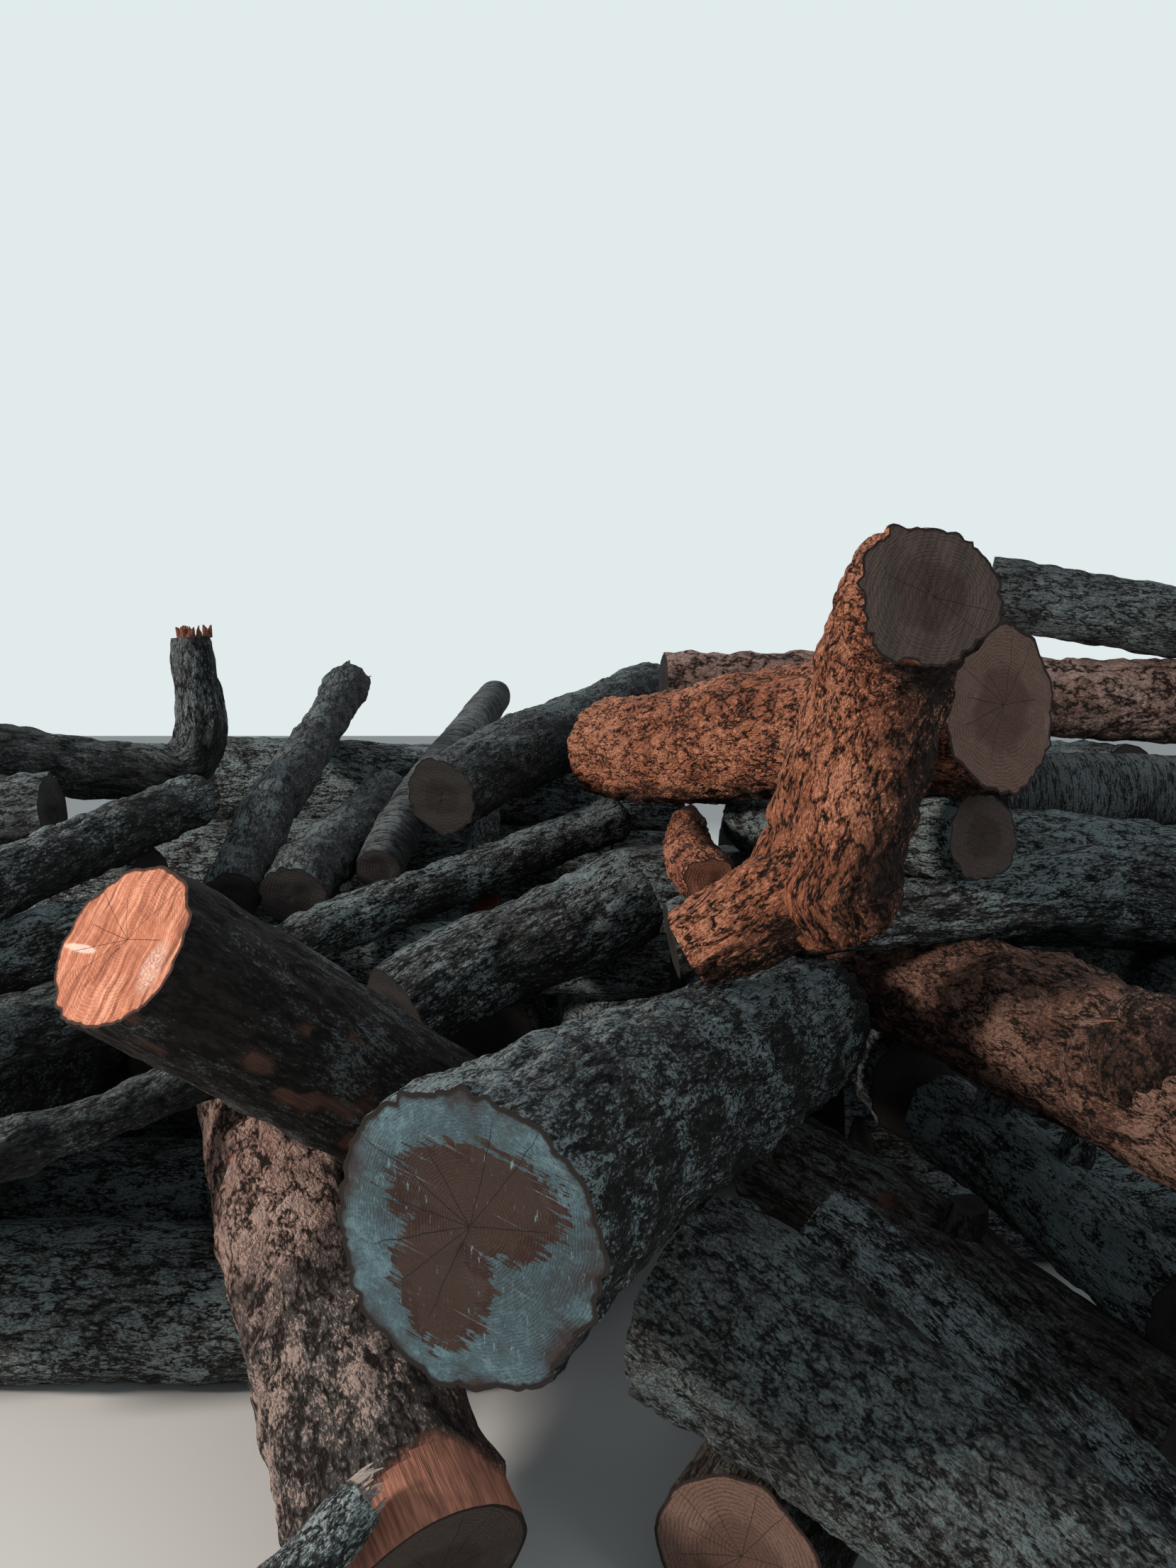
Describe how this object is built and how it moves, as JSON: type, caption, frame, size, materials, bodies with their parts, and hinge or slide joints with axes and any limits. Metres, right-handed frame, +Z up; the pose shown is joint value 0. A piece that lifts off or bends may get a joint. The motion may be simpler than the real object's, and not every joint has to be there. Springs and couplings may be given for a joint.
{
  "type": "heap of logs",
  "caption": "Loose heap of felled, rough-sawn logs of many thicknesses, with bark, branch stubs and sawn ends, lying crosswise on one another.",
  "frame": {"origin": "middle of the heap's bounding box in plan, at ground level", "axes": "+Z up; +X along the heap's long side, to the right for someone who faces the sawn ends; -Y towards that person"},
  "size_m": [6.1228, 5.15, 2.2072],
  "materials": {
    "bridge_log": "rough dark grey bark with pale lichen",
    "burl_log": "scaly orange-brown bark",
    "chip_bark_log": "scaly orange-brown bark",
    "crossing_left_log": "rough dark grey bark with pale lichen",
    "dark_cross_log": "rough dark grey bark with pale lichen",
    "elbow_log": "rough dark grey bark with pale lichen",
    "fan_log_1": "rough dark grey bark with pale lichen",
    "fan_log_2": "rough dark grey bark with pale lichen",
    "fan_log_3": "smooth pale grey bark",
    "fan_log_4": "rough dark grey bark with pale lichen",
    "forked_log": "scaly orange-brown bark",
    "front_log": "rough dark grey bark with pale lichen",
    "grey_cross_log": "rough dark grey bark with pale lichen",
    "ground_course": "rough dark grey bark with pale lichen",
    "lichen_branch": "smooth pale grey bark",
    "lower_left_log": "rough dark grey bark with pale lichen",
    "middle_left_log": "rough dark grey bark with pale lichen",
    "peeping_log": "rough dark grey bark with pale lichen",
    "pink_bark_log": "scaly orange-brown bark",
    "ridge_log": "rough dark grey bark with pale lichen",
    "ringed_log": "rough dark grey bark with pale lichen",
    "scaly_log": "rough dark grey bark with pale lichen",
    "second_course": "rough dark grey bark with pale lichen",
    "side_cross_log": "rough dark grey bark with pale lichen",
    "slanting_log": "rough dark grey bark with pale lichen",
    "small_end_log": "rough dark grey bark with pale lichen",
    "small_face_log": "rough dark grey bark with pale lichen",
    "stub_log": "rough dark grey bark with pale lichen",
    "sunlit_log": "rough dark grey bark with pale lichen",
    "thin_left_log": "rough dark grey bark with pale lichen",
    "thin_log": "rough dark grey bark with pale lichen",
    "third_course": "rough dark grey bark with pale lichen",
    "tilted_log": "scaly orange-brown bark",
    "top_log": "rough dark grey bark with pale lichen",
    "twin_stub_log": "rough dark grey bark with pale lichen",
    "upper_left_log": "rough dark grey bark with pale lichen"
  },
  "bodies": {
    "root": {"bridge_log": "bridge_log", "burl_log": "burl_log", "chip_bark_log": "chip_bark_log", "crossing_left_log": "crossing_left_log", "dark_cross_log": "dark_cross_log", "elbow_log": "elbow_log", "fan_log_1": "fan_log_1", "fan_log_2": "fan_log_2", "fan_log_3": "fan_log_3", "fan_log_4": "fan_log_4", "forked_log": "forked_log", "front_log": "front_log", "grey_cross_log": "grey_cross_log", "ground_course": "ground_course", "lichen_branch": "lichen_branch", "lower_left_log": "lower_left_log", "middle_left_log": "middle_left_log", "peeping_log": "peeping_log", "pink_bark_log": "pink_bark_log", "ridge_log": "ridge_log", "ringed_log": "ringed_log", "scaly_log": "scaly_log", "second_course": "second_course", "side_cross_log": "side_cross_log", "slanting_log": "slanting_log", "small_end_log": "small_end_log", "small_face_log": "small_face_log", "stub_log": "stub_log", "sunlit_log": "sunlit_log", "thin_left_log": "thin_left_log", "thin_log": "thin_log", "third_course": "third_course", "tilted_log": "tilted_log", "top_log": "top_log", "twin_stub_log": "twin_stub_log", "upper_left_log": "upper_left_log"}
  },
  "joints": []
}
